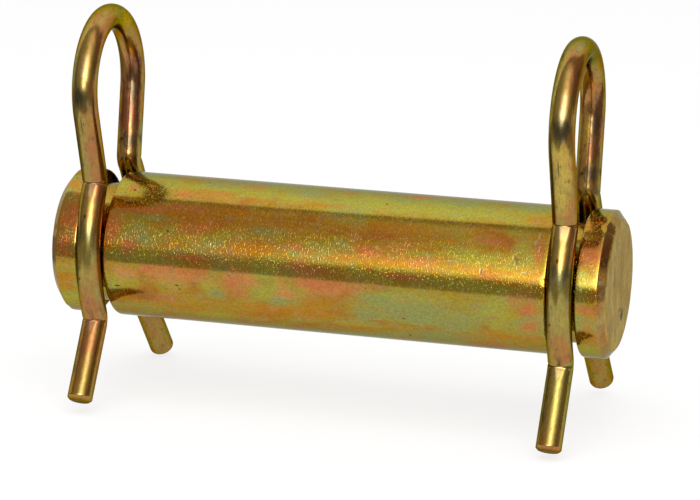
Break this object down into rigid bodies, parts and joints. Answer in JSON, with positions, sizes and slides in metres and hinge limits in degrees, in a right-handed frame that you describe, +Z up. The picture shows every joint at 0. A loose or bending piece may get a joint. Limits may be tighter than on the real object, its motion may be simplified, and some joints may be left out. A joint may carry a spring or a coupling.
{
  "type": "hydraulic cylinder pin",
  "caption": "Turned steel pin with bevelled ends and a groove near each, held in its eye by omega-shaped spring wire clips, all yellow zinc plated.",
  "frame": {"origin": "centre of the pin, on its axis and midway between its ends", "axes": "+X along the pin, +Z up through the clips' loops, so that it stands on the clips' feet; +Y towards the longer foot of each clip"},
  "size_m": [0.0984, 0.0467, 0.0692],
  "materials": {
    "plated_pin": "yellow chromated zinc plate over turned steel, dulled, with tiny pits and scratches",
    "plated_wire": "yellow chromated zinc plate over smooth drawn spring wire"
  },
  "bodies": {
    "pin": {"pin": "plated_pin"},
    "clip_left": {"clip_left": "plated_wire"},
    "clip_right": {"clip_right": "plated_wire"}
  },
  "joints": [
    {"name": "clip_left_swivel", "type": "hinge", "parent": "pin", "child": "clip_left", "pos_m": [-0.0417, 0, 0], "axis": [1, 0, 0], "continuous": true},
    {"name": "clip_right_pull", "type": "slide", "parent": "pin", "child": "clip_right", "axis": [0, -0.102, 0.9948], "range_m": [0, 0.045], "deforming": ["clip_right"]}
  ]
}
